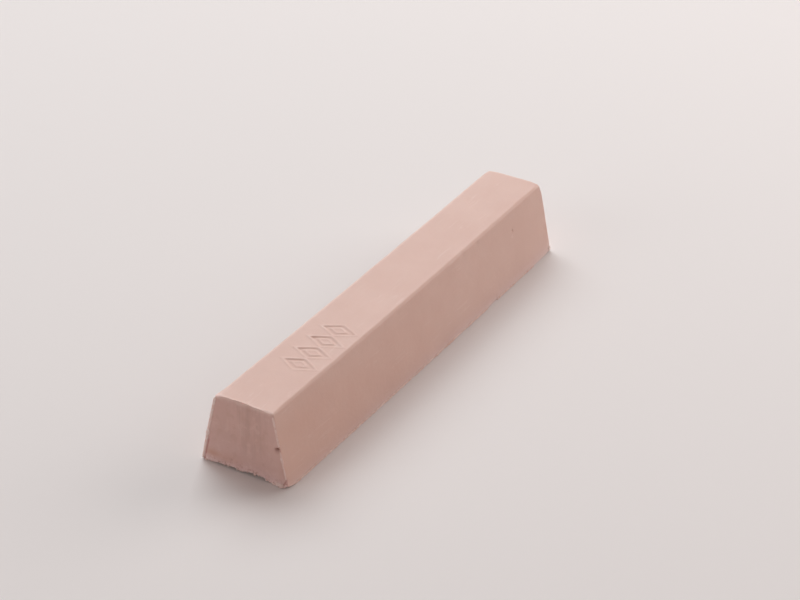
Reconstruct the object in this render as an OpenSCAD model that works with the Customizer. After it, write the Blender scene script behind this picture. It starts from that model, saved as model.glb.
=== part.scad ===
// Furniture repair wax stick: hard wax cast in an open trough mould and cut to length with a blade.
// The foot is the poured side, and the narrow top is the floor of the mould.
// Sizes are millimetres. +Z is up, and +X runs along the bar from the near cut to the far cut.
// The origin is at the middle of the foot.

/* [Cast bar] */
// Length of the bar along its axis, from cut to cut
bar_length = 80; // [50:1:120]
// Width across the foot
foot_width = 15.2; // [12.5:0.1:20]
// Width across the top, to where its edges would be if they were sharp
top_width = 9.9; // [7.5:0.1:12]
// Height from foot to top
bar_height = 11.9; // [9:0.1:16]
// Radius of the two long top edges
top_edge_radius = 0.7; // [0.3:0.05:1.5]
// Width of the shallow hollow that shrinkage leaves along the foot
sink_width = 10.4; // [6:0.1:12]
// Depth of that hollow
sink_depth = 0.3; // [0.1:0.05:0.6]

/* [Cut ends] */
// How far the foot of both cuts lies ahead of their top, towards the near end
cut_lean = 0.45; // [0:0.05:1.2]
// Radius of the near cut's top edge
near_edge_radius = 0.3; // [0.1:0.05:0.8]
// Radius of the far cut's top edge and upright corners
far_edge_radius = 0.3; // [0.1:0.05:0.8]

/* [Pressed lozenges] */
// Number of lozenges pressed into the top
mark_count = 4; // [1:1:6]
// Distance from one lozenge to the next
mark_pitch = 3.6; // [3:0.1:6]
// Width of a lozenge along the bar, to the middle of its groove
mark_width = 2.3; // [1.6:0.1:3]
// Height of a lozenge across the bar, to the middle of its groove
mark_height = 4.3; // [3:0.1:5.2]
// Width of the groove
groove_width = 0.4; // [0.2:0.05:0.6]
// Depth of the groove
groove_depth = 0.25; // [0.1:0.05:0.5]
// Width of the wax that is pushed up on each side of the groove
rim_width = 0.22; // [0.1:0.02:0.3]
// Rise of that wax above the top
rim_rise = 0.05; // [0.02:0.01:0.1]
// From the near cut's top edge to the middle of the first lozenge
mark_start = 12.9; // [8:0.1:20]
// From the middle of the top to the row of lozenges, towards the front
mark_offset = 0.95; // [0:0.05:1.2]

/* [Feather on the front foot edge] */
// How far the feather reaches past the foot edge
feather_reach = 0.2; // [0.1:0.02:0.4]
// Thickness of the feather
feather_thickness = 0.3; // [0.15:0.05:0.6]
// From the near cut to the start of the feather
feather_start = 1.6; // [0.5:0.1:5]
// From the end of the feather to the far cut
feather_stop = 5.6; // [2:0.1:8]
// From the nick, where a flake has come off, to the far cut
nick_from_far_cut = 18.6; // [12:0.1:30]
// Length of the nick
nick_length = 2.7; // [1:0.1:5]
// Depth of the nick into the foot edge
nick_depth = 0.15; // [0.1:0.05:0.4]

/* [Burrs at the near cut] */
// How far the burrs stand out of the near cut
burr_reach = 0.22; // [0.1:0.02:0.4]
// Width of the left burr on the cut at its widest
left_burr_width = 0.4; // [0.2:0.05:0.8]
// How far the left burr hangs out over the back side at its widest
left_burr_overhang = 0.35; // [0.1:0.05:0.5]
// Width of the right burr at its widest
right_burr_width = 0.3; // [0.2:0.05:0.5]

/* [Foot of the near cut] */
// Size of the largest crumb that clings to the foot
crumb_size = 0.62; // [0.4:0.02:0.9]
// Width of the smear that the blade pushed out at the front corner
smear_width = 2.2; // [1.2:0.1:3]
// Height of the smear
smear_height = 1.5; // [0.8:0.1:2.5]
// How far the smear stands out at the foot
smear_reach = 0.45; // [0.2:0.05:0.7]

/* [Far corner] */
// Size of the crumb at the foot of the far front corner
corner_crumb_size = 1.1; // [0.7:0.05:1.6]
// From the middle of that crumb to the far cut
corner_crumb_inset = 0.6; // [0.4:0.05:1.2]

/* [Hidden] */

wax = [0.85, 0.73, 0.68];
wax_crumb = [0.9, 0.8, 0.76];
smooth = 96;
overrun = 1;

half_foot = foot_width / 2;
half_top = top_width / 2;
// Widening of one side for each unit that it comes down
side_slope = (half_foot - half_top) / bar_height;
// The foot of the near cut, and the top of the two cuts, along X
near_foot_x = -(bar_length + cut_lean) / 2;
near_top_x = near_foot_x + cut_lean;
far_foot_x = near_foot_x + bar_length;
far_top_x = near_top_x + bar_length;

// Outward normals of the faces
top_normal = [0, 0, 1];
front_normal = unit([0, -1, side_slope]);
back_normal = unit([0, 1, side_slope]);
near_normal = unit([-bar_height, 0, cut_lean]);
far_normal = -near_normal;

function unit(v) = v / norm(v);
// Half the bar's width at height z
function half_width(z) = half_foot - side_slope * z;
// The near cut's place along X at height z
function near_cut_x(z) = near_foot_x + cut_lean * z / bar_height;
// Radius of an arc from its chord and its rise
function arc_radius(chord, rise) = (chord * chord / 4 + rise * rise) / (2 * rise);

// The bar with sharp edges. The clinging wax is cut back to it, so it seats face to face.
module sharp_bar() {
    cross_section = [[-half_foot, 0], [half_foot, 0], [half_top, bar_height], [-half_top, bar_height]];
    intersection() {
        translate([near_foot_x - overrun, 0, 0])
            rotate([90, 0, 90])
                linear_extrude(bar_length + cut_lean + 2 * overrun)
                    polygon(cross_section);
        between_cuts();
    }
}

// A slab wider than the bar, from the plane of the near cut to that of the far cut, moved along X
module between_cuts(shift = 0) {
    side_view = [[near_foot_x, 0], [far_foot_x, 0], [far_top_x, bar_height], [near_top_x, bar_height]];
    translate([shift, half_foot + overrun, 0])
        rotate([90, 0, 0])
            linear_extrude(foot_width + 2 * overrun)
                polygon(side_view);
}

// What a rounded edge takes away between two faces, along the line from p to q
module edge_rounding(p, q, normal_1, normal_2, radius) {
    along = unit(q - p);
    across = cross(along, normal_1);
    cosine = normal_1 * normal_2;
    corner = (normal_1 + normal_2) / (1 + cosine);
    centre = p - radius * corner - overrun * along;
    tangent_1 = [radius, 0];
    tangent_2 = [radius * cosine, radius * across * normal_2];
    outside = 1 + overrun / radius;
    multmatrix([
        [normal_1[0], across[0], along[0], centre[0]],
        [normal_1[1], across[1], along[1], centre[1]],
        [normal_1[2], across[2], along[2], centre[2]],
        [0, 0, 0, 1]])
        linear_extrude(norm(q - p) + 2 * overrun)
            difference() {
                polygon([[0, 0], tangent_1, tangent_1 * outside,
                    (tangent_1 + tangent_2) / (1 + cosine) * outside, tangent_2 * outside, tangent_2]);
                circle(radius, $fn = smooth);
            }
}

// A lozenge whose sides lie the given distance outside the middle of its groove
module lozenge(outset) {
    half_wide = mark_width / 2;
    half_high = mark_height / 2;
    to_side = half_wide * half_high / norm([half_wide, half_high]);
    wide = half_wide * (to_side + outset) / to_side;
    high = half_high * (to_side + outset) / to_side;
    polygon([[wide, 0], [0, high], [-wide, 0], [0, -high]]);
}

// The row of lozenges as bands of the given half width, from one height to another
module lozenge_row(half_band, low, high) {
    for (i = [0 : mark_count - 1])
        translate([near_top_x + mark_start + i * mark_pitch, -mark_offset, low])
            linear_extrude(high - low)
                difference() {
                    lozenge(half_band);
                    lozenge(-half_band);
                }
}

// A round bite out of the foot of a cut, centred on its edge: place across the bar, radius and depth
near_bite_shares = [[0.56, 0.045, 0.5], [0.28, 0.055, 0.62], [-0.13, 0.045, 0.6], [-0.38, 0.09, 0.28],
    [-0.98, 0.03, 0.6]];
far_bite_shares = [[0.62, 0.05, 0.5], [-0.2, 0.07, 0.4]];
module foot_bites(shares, edge_x, outward) {
    for (bite = shares) {
        radius = bite[1] * bar_height;
        out = radius * (1 - bite[2]);
        translate([edge_x + outward * out, bite[0] * half_foot, sink_depth - out])
            sphere(radius, $fn = smooth);
    }
}

// The air pinhole on the front side, and the pit on the right edge of the near cut
pinhole_radius = 0.22;
pinhole_from_far_cut = 11;
pinhole_z = 8.5;
edge_pit_radius = 0.36;
edge_pit_z = 6.3;
module air_holes() {
    translate([far_top_x - pinhole_from_far_cut, -half_width(pinhole_z), pinhole_z])
        sphere(pinhole_radius, $fn = smooth);
    translate([near_cut_x(edge_pit_z), -half_width(edge_pit_z) + edge_pit_radius, edge_pit_z])
        sphere(edge_pit_radius, $fn = smooth);
}

// The nick where the feather and a little of the foot edge have flaked off
nick_end_x = far_foot_x - nick_from_far_cut;
nick_start_x = nick_end_x - nick_length;
nick_radius = arc_radius(nick_length, nick_depth);
module edge_nick() {
    translate([(nick_start_x + nick_end_x) / 2, -half_foot - nick_radius + nick_depth, 0])
        sphere(nick_radius, $fn = smooth);
}

// The cast bar, cut to length
module wax_stick() {
    near_front_top = [near_top_x, -half_top, bar_height];
    near_back_top = [near_top_x, half_top, bar_height];
    far_front_top = [far_top_x, -half_top, bar_height];
    far_back_top = [far_top_x, half_top, bar_height];
    far_front_foot = [far_foot_x, -half_foot, 0];
    far_back_foot = [far_foot_x, half_foot, 0];
    sink_radius = arc_radius(sink_width, sink_depth);
    color(wax)
        difference() {
            union() {
                sharp_bar();
                lozenge_row(groove_width / 2 + rim_width, bar_height - groove_depth, bar_height + rim_rise);
            }
            lozenge_row(groove_width / 2, bar_height - groove_depth, bar_height + overrun);
            edge_rounding(near_front_top, far_front_top, top_normal, front_normal, top_edge_radius);
            edge_rounding(near_back_top, far_back_top, top_normal, back_normal, top_edge_radius);
            edge_rounding(near_front_top, near_back_top, top_normal, near_normal, near_edge_radius);
            edge_rounding(far_front_top, far_back_top, top_normal, far_normal, far_edge_radius);
            edge_rounding(far_front_foot, far_front_top, far_normal, front_normal, far_edge_radius);
            edge_rounding(far_back_foot, far_back_top, far_normal, back_normal, far_edge_radius);
            translate([near_foot_x - overrun, 0, sink_depth - sink_radius])
                rotate([0, 90, 0])
                    cylinder(bar_length + cut_lean + 2 * overrun, r = sink_radius, $fn = smooth);
            foot_bites(near_bite_shares, near_foot_x, -1);
            foot_bites(far_bite_shares, far_foot_x, 1);
            air_holes();
            edge_nick();
        }
}

// Thin overflow wax along the front foot edge, in two lengths with the nick between them
feather_reach_shares = [0.3, 0.8, 0.55, 0.9, 0.6, 0.75, 0.5, 1, 0.7, 0.9, 0.35];
far_feather_share = 0.6;
module feather_length(start_x, end_x, reach) {
    last = len(feather_reach_shares) - 1;
    step = (end_x - start_x) / last;
    linear_extrude(feather_thickness)
        polygon(concat(
            [[end_x, 0], [start_x, 0]],
            [for (i = [0 : last]) [start_x + step * i, -half_foot - reach * feather_reach_shares[i]]]));
}
module front_feather() {
    color(wax)
        difference() {
            union() {
                feather_length(near_foot_x + feather_start, nick_start_x, feather_reach);
                feather_length(nick_end_x, far_foot_x - feather_stop, feather_reach * far_feather_share);
            }
            sharp_bar();
        }
}

// A burr on one upright edge of the near cut: side is 1 for the left and -1 for the right.
// Each point is a height and a width, as shares of the bar's height and of the burr's width and overhang.
left_burr_shares = [[0.97, 0.2], [0.78, 0.45], [0.6, 0.4], [0.46, 0.55], [0.42, 1], [0.37, 0.9], [0.33, 0.5],
    [0.2, 0.6], [0.12, 0.5], [0.03, 0.8]];
right_burr_shares = [[0.93, 0.3], [0.75, 0.6], [0.66, 0.5], [0.6, 1], [0.575, 0.2]];
lower_burr_shares = [[0.5, 0.2], [0.47, 0.9], [0.36, 0.5], [0.25, 0.7], [0.16, 0.3]];
function burr_point(share, inset, side) =
    [side * (half_width(share * bar_height) - inset), share * bar_height];
module cut_burr(shares, side, width, overhang = 0) {
    last = len(shares) - 1;
    inner_edge = [for (point = shares) burr_point(point[0], width * point[1], side)];
    outer_edge = [for (i = [last : -1 : 0]) burr_point(shares[i][0], -overhang * shares[i][1], side)];
    difference() {
        intersection() {
            between_cuts(-burr_reach);
            translate([near_foot_x - burr_reach, 0, 0])
                rotate([90, 0, 90])
                    linear_extrude(cut_lean + burr_reach)
                        polygon(concat(inner_edge, outer_edge));
        }
        between_cuts();
    }
}
module left_cut_burr() {
    color(wax_crumb) cut_burr(left_burr_shares, 1, left_burr_width, left_burr_overhang);
}
module right_cut_burr() {
    color(wax_crumb) {
        cut_burr(right_burr_shares, -1, right_burr_width);
        cut_burr(lower_burr_shares, -1, right_burr_width);
    }
}

// Crumbs that cling to the near cut just above the foot.
// The shares are place across the bar, height and size. The turns are in degrees.
crumb_shares = [[0.86, 0.045, 0.7], [0.38, 0.1, 0.8], [0.2, 0.075, 0.6], [0.06, 0.09, 0.5], [-0.23, 0.06, 1],
    [-0.5, 0.08, 0.65]];
crumb_turns = [[20, 30, 0], [50, 10, 25], [10, 60, 40], [35, 35, 10], [15, 50, 70], [60, 20, 5]];
crumb_squareness_share = 1.5;
module crumb(size, turn) {
    radius = size / 2;
    intersection() {
        sphere(radius, $fn = smooth);
        rotate(turn) cube(radius * crumb_squareness_share, center = true);
    }
}
module foot_crumbs() {
    color(wax_crumb)
        difference() {
            for (i = [0 : len(crumb_shares) - 1]) {
                z = crumb_shares[i][1] * bar_height;
                translate([near_cut_x(z), crumb_shares[i][0] * half_foot, z])
                    crumb(crumb_size * crumb_shares[i][2], crumb_turns[i]);
            }
            sharp_bar();
        }
}

// The smear at the front corner of the foot: round in plan and thinning upwards
smear_place_share = -0.8;
module toe_smear() {
    plan_radius = arc_radius(smear_width, smear_reach);
    color(wax_crumb)
        difference() {
            intersection() {
                translate([near_foot_x - smear_reach + plan_radius, smear_place_share * half_foot, 0])
                    cylinder(smear_height, r = plan_radius, $fn = smooth);
                translate([0, half_foot, 0])
                    rotate([90, 0, 0])
                        linear_extrude(foot_width)
                            polygon([[near_foot_x - smear_reach, 0], [near_top_x, 0],
                                [near_cut_x(smear_height), smear_height]]);
            }
            sharp_bar();
        }
}

// The crumb at the foot of the far front corner
corner_crumb_turn = [25, 40, 15];
module far_corner_crumb() {
    rise = corner_crumb_size / 2;
    color(wax_crumb)
        difference() {
            translate([far_foot_x - corner_crumb_inset, -half_width(rise), rise])
                crumb(corner_crumb_size, corner_crumb_turn);
            sharp_bar();
        }
}

wax_stick();
front_feather();
left_cut_burr();
right_cut_burr();
foot_crumbs();
toe_smear();
far_corner_crumb();
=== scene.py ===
# %% [markdown]
# # A stick of hard repair wax
#
# A repair stick is a small bar of hard, pigmented wax. It is cast in an open trough mould, so it has a wide poured
# foot, a narrow top and slanted sides, and it is cut to length with a blade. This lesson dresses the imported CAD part
# with that history: soft cast faces, blade drag on the cuts, a pressed mark, and thin wax that clings to the edges.
#
# Lengths in the cells are millimetres, because the stick is small. They become metres when a mesh is made.

import math

import bpy
import numpy as np
from mathutils import Matrix, Vector


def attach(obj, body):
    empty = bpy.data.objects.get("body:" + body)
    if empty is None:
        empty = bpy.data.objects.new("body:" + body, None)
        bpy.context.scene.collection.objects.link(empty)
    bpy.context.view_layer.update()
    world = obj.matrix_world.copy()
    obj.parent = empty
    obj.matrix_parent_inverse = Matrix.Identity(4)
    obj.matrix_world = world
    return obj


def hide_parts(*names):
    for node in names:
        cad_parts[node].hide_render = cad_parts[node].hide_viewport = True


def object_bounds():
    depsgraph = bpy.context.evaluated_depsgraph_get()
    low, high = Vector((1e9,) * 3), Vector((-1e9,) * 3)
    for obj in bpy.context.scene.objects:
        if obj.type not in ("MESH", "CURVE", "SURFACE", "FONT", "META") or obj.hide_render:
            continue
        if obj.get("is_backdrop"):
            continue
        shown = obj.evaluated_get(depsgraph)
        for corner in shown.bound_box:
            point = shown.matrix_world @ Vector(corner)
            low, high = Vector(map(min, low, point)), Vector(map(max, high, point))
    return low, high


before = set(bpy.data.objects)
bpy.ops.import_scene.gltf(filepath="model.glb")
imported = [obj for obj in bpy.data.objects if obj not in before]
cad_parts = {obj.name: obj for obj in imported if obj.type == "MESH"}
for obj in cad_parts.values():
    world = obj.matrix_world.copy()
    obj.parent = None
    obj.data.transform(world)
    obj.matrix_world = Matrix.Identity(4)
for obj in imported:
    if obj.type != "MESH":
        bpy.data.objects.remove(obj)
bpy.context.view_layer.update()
MM_PER_METRE = 1000
print("nodes:", sorted(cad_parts))

# %% [markdown]
# ## Camera first
#
# The stick's ten visible edges fix the camera: their vanishing points give its turn and its lens, and the stick's
# length gives its distance. A long lens from about 37 cm keeps the edges nearly parallel. The forward vector comes
# from two angles, yaw from +X towards +Y and pitch below the horizon.

# %% Place the camera
YAW, PITCH = math.radians(31.193), math.radians(31.4495)
CAMERA_PLACE = (-0.265116, -0.162457, 0.198751)  # metres
FOCAL_PIXELS, FRAME_WIDTH, SENSOR_WIDTH = 2335.75, 800, 36

forward = Vector((math.cos(YAW) * math.cos(PITCH), math.sin(YAW) * math.cos(PITCH), -math.sin(PITCH)))
right = Vector((math.sin(YAW), -math.cos(YAW), 0))
up = right.cross(forward)

camera_data = bpy.data.cameras.new("camera")
camera_data.sensor_width = SENSOR_WIDTH
camera_data.lens = SENSOR_WIDTH * FOCAL_PIXELS / FRAME_WIDTH
camera_data.clip_start, camera_data.clip_end = 0.01, 20
camera = bpy.data.objects.new("camera", camera_data)
axes = Matrix((right, up, -forward)).transposed().to_4x4()
camera.matrix_world = Matrix.Translation(CAMERA_PLACE) @ axes
bpy.context.scene.collection.objects.link(camera)
bpy.context.scene.camera = camera
print("lens, mm:", round(camera_data.lens, 2))

# %% [markdown]
# ## Noise worked out with numpy
#
# Cast wax is never quite flat and a blade never cuts quite straight. Small uneven shapes come from smooth noise.
# Here it is written for whole arrays of points at once: a hash gives every whole-number point of space its own slope,
# and the value between eight such points is blended from them.

# %% Smooth noise
HASH_FACTORS = (374761393, 668265263, 1440662683, 974634777)  # large odd numbers for x, y, z and the seed
HASH_ROUNDS = ((13, 1274126177), (15, 1812433253))
LOW_32_BITS = 0xFFFFFFFF


def lattice_slopes(ix, iy, iz, seed):
    """The slope at whole-number points: three numbers from -1 to 1, cut from the bits of an integer hash."""
    h = sum(value * factor for value, factor in zip((ix, iy, iz, seed), HASH_FACTORS)) & LOW_32_BITS
    for shift, factor in HASH_ROUNDS:
        h = ((h ^ (h >> shift)) * factor) & LOW_32_BITS
    h = h ^ (h >> 16)
    return np.stack([h & 1023, (h >> 10) & 1023, (h >> 20) & 1023], -1) / 511.5 - 1


def noise(x, y, z, seed):
    """Gradient noise. Each of the eight corners round a point gives slope . offset, and they are blended by
    6t^5 - 15t^4 + 10t^3 along each axis. Times 1.5, the sum runs from about -1 to 1."""
    p = np.stack(np.broadcast_arrays(x, y, z), -1).astype(float)
    cell = np.floor(p).astype(np.int64)
    t = p - cell
    s = t * t * t * (t * (6 * t - 15) + 10)
    total = 0.0
    for corner in np.ndindex(2, 2, 2):
        corner = np.array(corner)
        slope = lattice_slopes(*np.moveaxis(cell + corner, -1, 0), seed)
        share = np.prod(np.where(corner == 1, s, 1 - s), -1)
        total = total + share * ((t - corner) * slope).sum(-1)
    return 1.5 * total


sample = noise(np.linspace(0, 50, 4001), 0.3, 0.7, 1)
print("noise from", round(sample.min(), 2), "to", round(sample.max(), 2))

# %% [markdown]
# ## The bar as one closed lattice
#
# A subdivided cube would do for a bar, but its faces would be equally fine everywhere. This bar needs a point every
# tenth of a millimetre or so round the pressed mark and on the near cut, and few along the plain sides. So the bar is
# the surface of a lattice box: three lists of places, along, across and up, with their own spacing. Each of the six
# sides is a grid over two of the lists, and points on shared edges are the same points, so the surface is closed.

# %% Lattice of the box surface
def graded(*stretches):
    """Places along one direction: each stretch (from, to, step) is divided evenly in steps of about that size."""
    parts = [np.linspace(a, b, round((b - a) / step) + 1)[:-1] for a, b, step in stretches]
    return np.concatenate(parts + [[stretches[-1][1]]])


def grid_quads(grid):
    """Quads over a grid of point numbers."""
    return np.stack([grid[:-1, :-1], grid[1:, :-1], grid[1:, 1:], grid[:-1, 1:]], -1).reshape(-1, 4)


def box_lattice(*cells):
    """A box of so many cells each way: whole-number places (i, j, k) of its surface points, and quads that face out."""
    shape = tuple(n + 1 for n in cells)

    def side(fixed, value):
        """Quads over one side of the box, where the direction numbered fixed has that value."""
        first, second = (fixed + 1) % 3, (fixed + 2) % 3
        u, v = np.meshgrid(np.arange(shape[first]), np.arange(shape[second]), indexing="ij")
        ijk = np.zeros((3,) + u.shape, np.int64)
        ijk[fixed], ijk[first], ijk[second] = value, u, v
        quads = grid_quads(np.ravel_multi_index(tuple(ijk), shape))
        return quads[:, ::-1] if value == 0 else quads

    quads = [side(fixed, value) for fixed in range(3) for value in (0, cells[fixed])]
    numbers, corners = np.unique(np.concatenate(quads), return_inverse=True)
    return np.stack(np.unravel_index(numbers, shape), -1), corners.reshape(-1, 4)


ALONG = graded((-40, -39.4, 0.07), (-39.4, -38.6, 0.13), (-38.6, -28.8, 0.45), (-28.8, -14.2, 0.14),
               (-14.2, 16.2, 0.5), (16.2, 18.4, 0.4), (18.4, 19.6, 0.2), (19.6, 21, 0.35), (21, 21.5, 0.09),
               (21.5, 28.8, 0.5), (28.8, 29.7, 0.1), (29.7, 38.4, 0.5), (38.4, 40, 0.14))
ACROSS = graded((-1, -0.88, 0.012), (-0.88, -0.8, 0.027), (-0.8, 0.36, 0.0215), (0.36, 0.86, 0.06), (0.86, 1, 0.014))
UP = graded((0, 1.2, 0.1), (1.2, 6, 0.3), (6, 6.9, 0.11), (6.9, 7.8, 0.22), (7.8, 8.15, 0.17), (8.15, 8.85, 0.1),
            (8.85, 10.9, 0.3), (10.9, 11.9, 0.11))
bar_ijk, bar_quads = box_lattice(len(ALONG) - 1, len(ACROSS) - 1, len(UP) - 1)
print("bar lattice:", len(bar_ijk), "points,", 2 * len(bar_quads), "triangles")

# %% [markdown]
# ## From lattice to stick
#
# Four numbers make the trough: half widths at foot and top, height, and length. The cuts lean, because the blade came
# down at a slight angle, and the whole stick bows a little towards the front, as it did when it cooled. Every other
# piece sits on this same mapping, so that all of them bow and lean with the bar.

# %% Map a place on the bar to space
HALF_LENGTH, HALF_FOOT, HALF_TOP, HEIGHT = 40.0, 7.6, 4.95, 11.9
LEAN, BOW = 0.45, 0.17


def half_width(z):
    """Half the bar's width at height z: it narrows evenly from the foot to the top."""
    return HALF_FOOT - (HALF_FOOT - HALF_TOP) * z / HEIGHT


def to_space(along, across, z):
    """Along the bar, share of the half width, height -> x, y, z. x leans with z, and y bows as 1 - (along / half)^2."""
    x = along + LEAN * (z / HEIGHT - 0.5)
    y = across * half_width(z) - BOW * (1 - (along / HALF_LENGTH) ** 2)
    return np.stack(np.broadcast_arrays(x, y, z), -1)


along, across, z = ALONG[bar_ijk[:, 0]], ACROSS[bar_ijk[:, 1]], UP[bar_ijk[:, 2]]
bar = to_space(along, across, z)
print("sharp bar, mm:", np.round(np.ptp(bar, axis=0), 2))

# %% [markdown]
# ## Soft and crisp edges
#
# The two long top edges were moulded and are round. The cut edges are crisp, and the far corners are worn. A bevel
# modifier gives one width to all, so the rounding is worked out from distances: where a point lies nearer than the
# radius to two faces or more, it is drawn onto the circle inside them. The radius itself is a soft blend of the radii
# of the nearest edges, and it wavers a little. Two small curves of the distance to a face, a bell and a ramp, are all
# that the later steps need to keep a shape or a colour to its place.

# %% Round the edges
def bell(distance, width):
    """1 at distance 0 and falling to 0 as exp(-(distance / width)^2)."""
    return np.exp(-((distance / width) ** 2))


def ramp(distance, span):
    """0 up to distance 0, 1 from distance span on, and even between."""
    return np.clip(distance / span, 0, 1)


to_near, to_far = along + HALF_LENGTH, HALF_LENGTH - along
to_front, to_back = (across + 1) * half_width(z), (1 - across) * half_width(z)
to_top, to_foot = HEIGHT - z, z

EDGE_RADII = (  # two faces that meet, and the radius there; for a corner, the edge and the third face
    (to_top, to_front, 0.42), (to_top, to_back, 0.42), (to_top, to_near, 0.16), (to_top, to_far, 0.3),
    (to_near, to_front, 0.14), (to_near, to_back, 0.14), (to_far, to_front, 0.14), (to_far, to_back, 0.35),
    (to_foot, to_front, 0.16), (to_foot, to_back, 0.2), (to_foot, to_near, 0.12), (to_foot, to_far, 0.25),
    (np.hypot(to_top, to_far), to_front, 1.45), (np.hypot(to_foot, to_far), to_front, 1.0),
    (np.hypot(to_top, to_far), to_back, 1.6), (np.hypot(to_top, to_near), to_back, 0.05),
)


def blended_radius(edges):
    """Sum of weight * radius over sum of weights, where an edge's weight falls off with the distance to it."""
    weights = [bell(np.hypot(a, b), 0.9) + 1e-6 for a, b, _ in edges]
    return sum(w * r for w, (_, _, r) in zip(weights, edges)) / sum(weights)


radius = blended_radius(EDGE_RADII) * (1 + 0.22 * noise(along * 0.35, across * 2, z * 0.35, 3))


def pull(distance_a, distance_b):
    """How much of the radius a point lies within, towards one pair of opposite faces: 1 on a face, 0 beyond it."""
    return np.clip(1 - np.minimum(distance_a, distance_b) / radius, 0, 1)


inward = np.stack([pull(to_near, to_far), pull(to_front, to_back), pull(to_top, to_foot)], -1)
outward = np.stack([np.where(to_near < to_far, -1, 1), np.where(to_front < to_back, -1, 1),
                    np.where(to_top < to_foot, 1, -1)], -1)
length = np.linalg.norm(inward, axis=-1, keepdims=True)
bar = bar + outward * radius[:, None] * (inward / np.maximum(length, 1e-9) - inward)
edge_closeness = np.clip(inward.sum(-1) - inward.max(-1), 0, 1)
print("rounded points:", int((edge_closeness > 0).sum()),
      "radius", round(radius.min(), 2), "to", round(radius.max(), 2))

# %% [markdown]
# ## A pressed mark
#
# A stamp was pressed into the top while the wax was warm: narrow grooves, with the wax that they displaced standing
# up in a rim on both sides. Here the stamp is a row of four plain lozenges. A lozenge's outline is where
# |u| / wide + |v| / high = 1, and the distance to it follows from that sum, so the groove is a bell curve of the
# distance and the rims are two more. The stamp bit unevenly, deepest at the corners.

# %% Press the lozenges
MARK_PLACES, MARK_TURNS = (-26.875, -23.275, -19.675, -16.075), (-2.0, 1.2, -0.6, 2.4)  # mm along, degrees
MARK_WIDE, MARK_HIGH, MARK_OFFSET = 1.15, 2.15, -0.95
MARK_DEPTH, MARK_RIM, GROOVE_WIDTH = 0.108, 0.112, 0.245
RIMS = ((0.44, 0.17, 1.0), (-0.42, 0.16, 0.9))  # distance out from the outline, width, share of the height
SOFT_TIP_U, SOFT_TIP_V, OUTLINE = 0.07, 0.12, 1.04  # soft tips add a little to the sum
to_side = MARK_WIDE * MARK_HIGH / math.hypot(MARK_WIDE, MARK_HIGH)

on_top = bell(to_top, 0.5)
groove, rim = np.zeros(len(bar)), np.zeros(len(bar))
for number, (place, degrees) in enumerate(zip(MARK_PLACES, MARK_TURNS)):
    turn = math.radians(degrees)
    u = (bar[:, 0] - place) * math.cos(turn) + (bar[:, 1] - MARK_OFFSET) * math.sin(turn)
    v = -(bar[:, 0] - place) * math.sin(turn) + (bar[:, 1] - MARK_OFFSET) * math.cos(turn)
    outline_sum = np.hypot(u, SOFT_TIP_U) / MARK_WIDE + np.hypot(v, SOFT_TIP_V) / MARK_HIGH
    distance = (outline_sum - OUTLINE) * to_side
    bite = 0.62 + 0.5 * noise(bar[:, 0] * 0.8, bar[:, 1] * 0.8, number, 11) + 0.1 * u + 0.08 * v
    bite = bite + 0.2 * bell(np.hypot(u, v - MARK_HIGH), 0.45) + 0.25 * bell(np.hypot(u, v + MARK_HIGH), 0.4)
    bite = np.clip(bite, 0.5, 1.2)
    rims = sum(share * bell(distance - place, width) for place, width, share in RIMS)
    groove = np.maximum(groove, bite * bell(distance, GROOVE_WIDTH) * on_top)
    rim = np.maximum(rim, bite * rims * on_top)
bar[:, 2] += MARK_RIM * rim - MARK_DEPTH * groove
print("deepest groove, mm:", round(MARK_DEPTH * groove.max(), 3), "highest rim, mm:", round(MARK_RIM * rim.max(), 3))

# %% [markdown]
# ## Blade drag, chips and pits
#
# A blade that is pushed down through hard wax leaves fine upright furrows, tears the surface where the wax is short,
# and breaks the foot edge as it comes out. Furrows are noise that is stretched in height; the torn patches are noise
# of one scale in all directions. The foot edge follows a short table of heights, with chips between. The lip that the
# blade turned up along the top of the cut follows another, and at its back corner it stands out as a small ear.

# %% Work the two cut faces
def blade_drag(y, z, seed):
    """Furrows: noise that varies fast across and slowly in height, in three widths, and torn wax low down."""
    furrows = 0.05 * noise(y * 0.7, z * 0.1, 0.5, seed)
    finer = 0.034 * noise(y * 1.4, z * 0.14, 1.5, seed) + 0.012 * noise(y * 3.6, z * 0.3, 2.5, seed)
    furrows = furrows + bell(y + 0.4, 3.6) * finer
    torn = 0.05 * noise(y * 0.9, z * 0.9, 3.5, seed) + 0.035 * noise(y * 2.4, z * 2.4, 4.5, seed)
    low = 1 / (1 + np.exp((z - 2.6) / 0.8))
    return furrows * (1 - 0.7 * low) + torn * (0.25 + 0.75 * low)


def pits(a, b, places):
    """Sum of round dents on a face with coordinates a and b: each place is (a, b, radius, depth)."""
    return sum(depth * bell(np.hypot(a - pa, b - pb), r) for pa, pb, r, depth in places)


NEAR_PITS = ((-5.66, 6.14, 0.25, 0.65), (-5.48, 5.94, 0.2, 0.35), (3.45, 0.85, 0.2, 0.3), (2.4, 1.5, 0.15, 0.22),
             (0.9, 4.6, 0.12, 0.1), (-3.1, 2.7, 0.1, 0.1), (4.6, 2.1, 0.14, 0.14), (6.25, 5.0, 0.16, 0.16),
             (1.2, 1.05, 0.13, 0.16), (-0.9, 7.2, 0.2, 0.05))
FAR_PITS = ((4.2, 5.2, 0.18, 0.2), (-2.3, 1.4, 0.16, 0.2), (1.1, 8.3, 0.1, 0.12), (-4.9, 3.6, 0.14, 0.12))
near_face, far_face = bell(to_near, 0.28), bell(to_far, 0.28)
y, z = bar[:, 1].copy(), bar[:, 2].copy()
bar[:, 0] += near_face * (blade_drag(y, z, 21) + pits(y, z, NEAR_PITS))
bar[:, 0] -= far_face * (blade_drag(y, z, 22) + pits(y, z, FAR_PITS))
near_cut = bar[to_near == 0]
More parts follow.
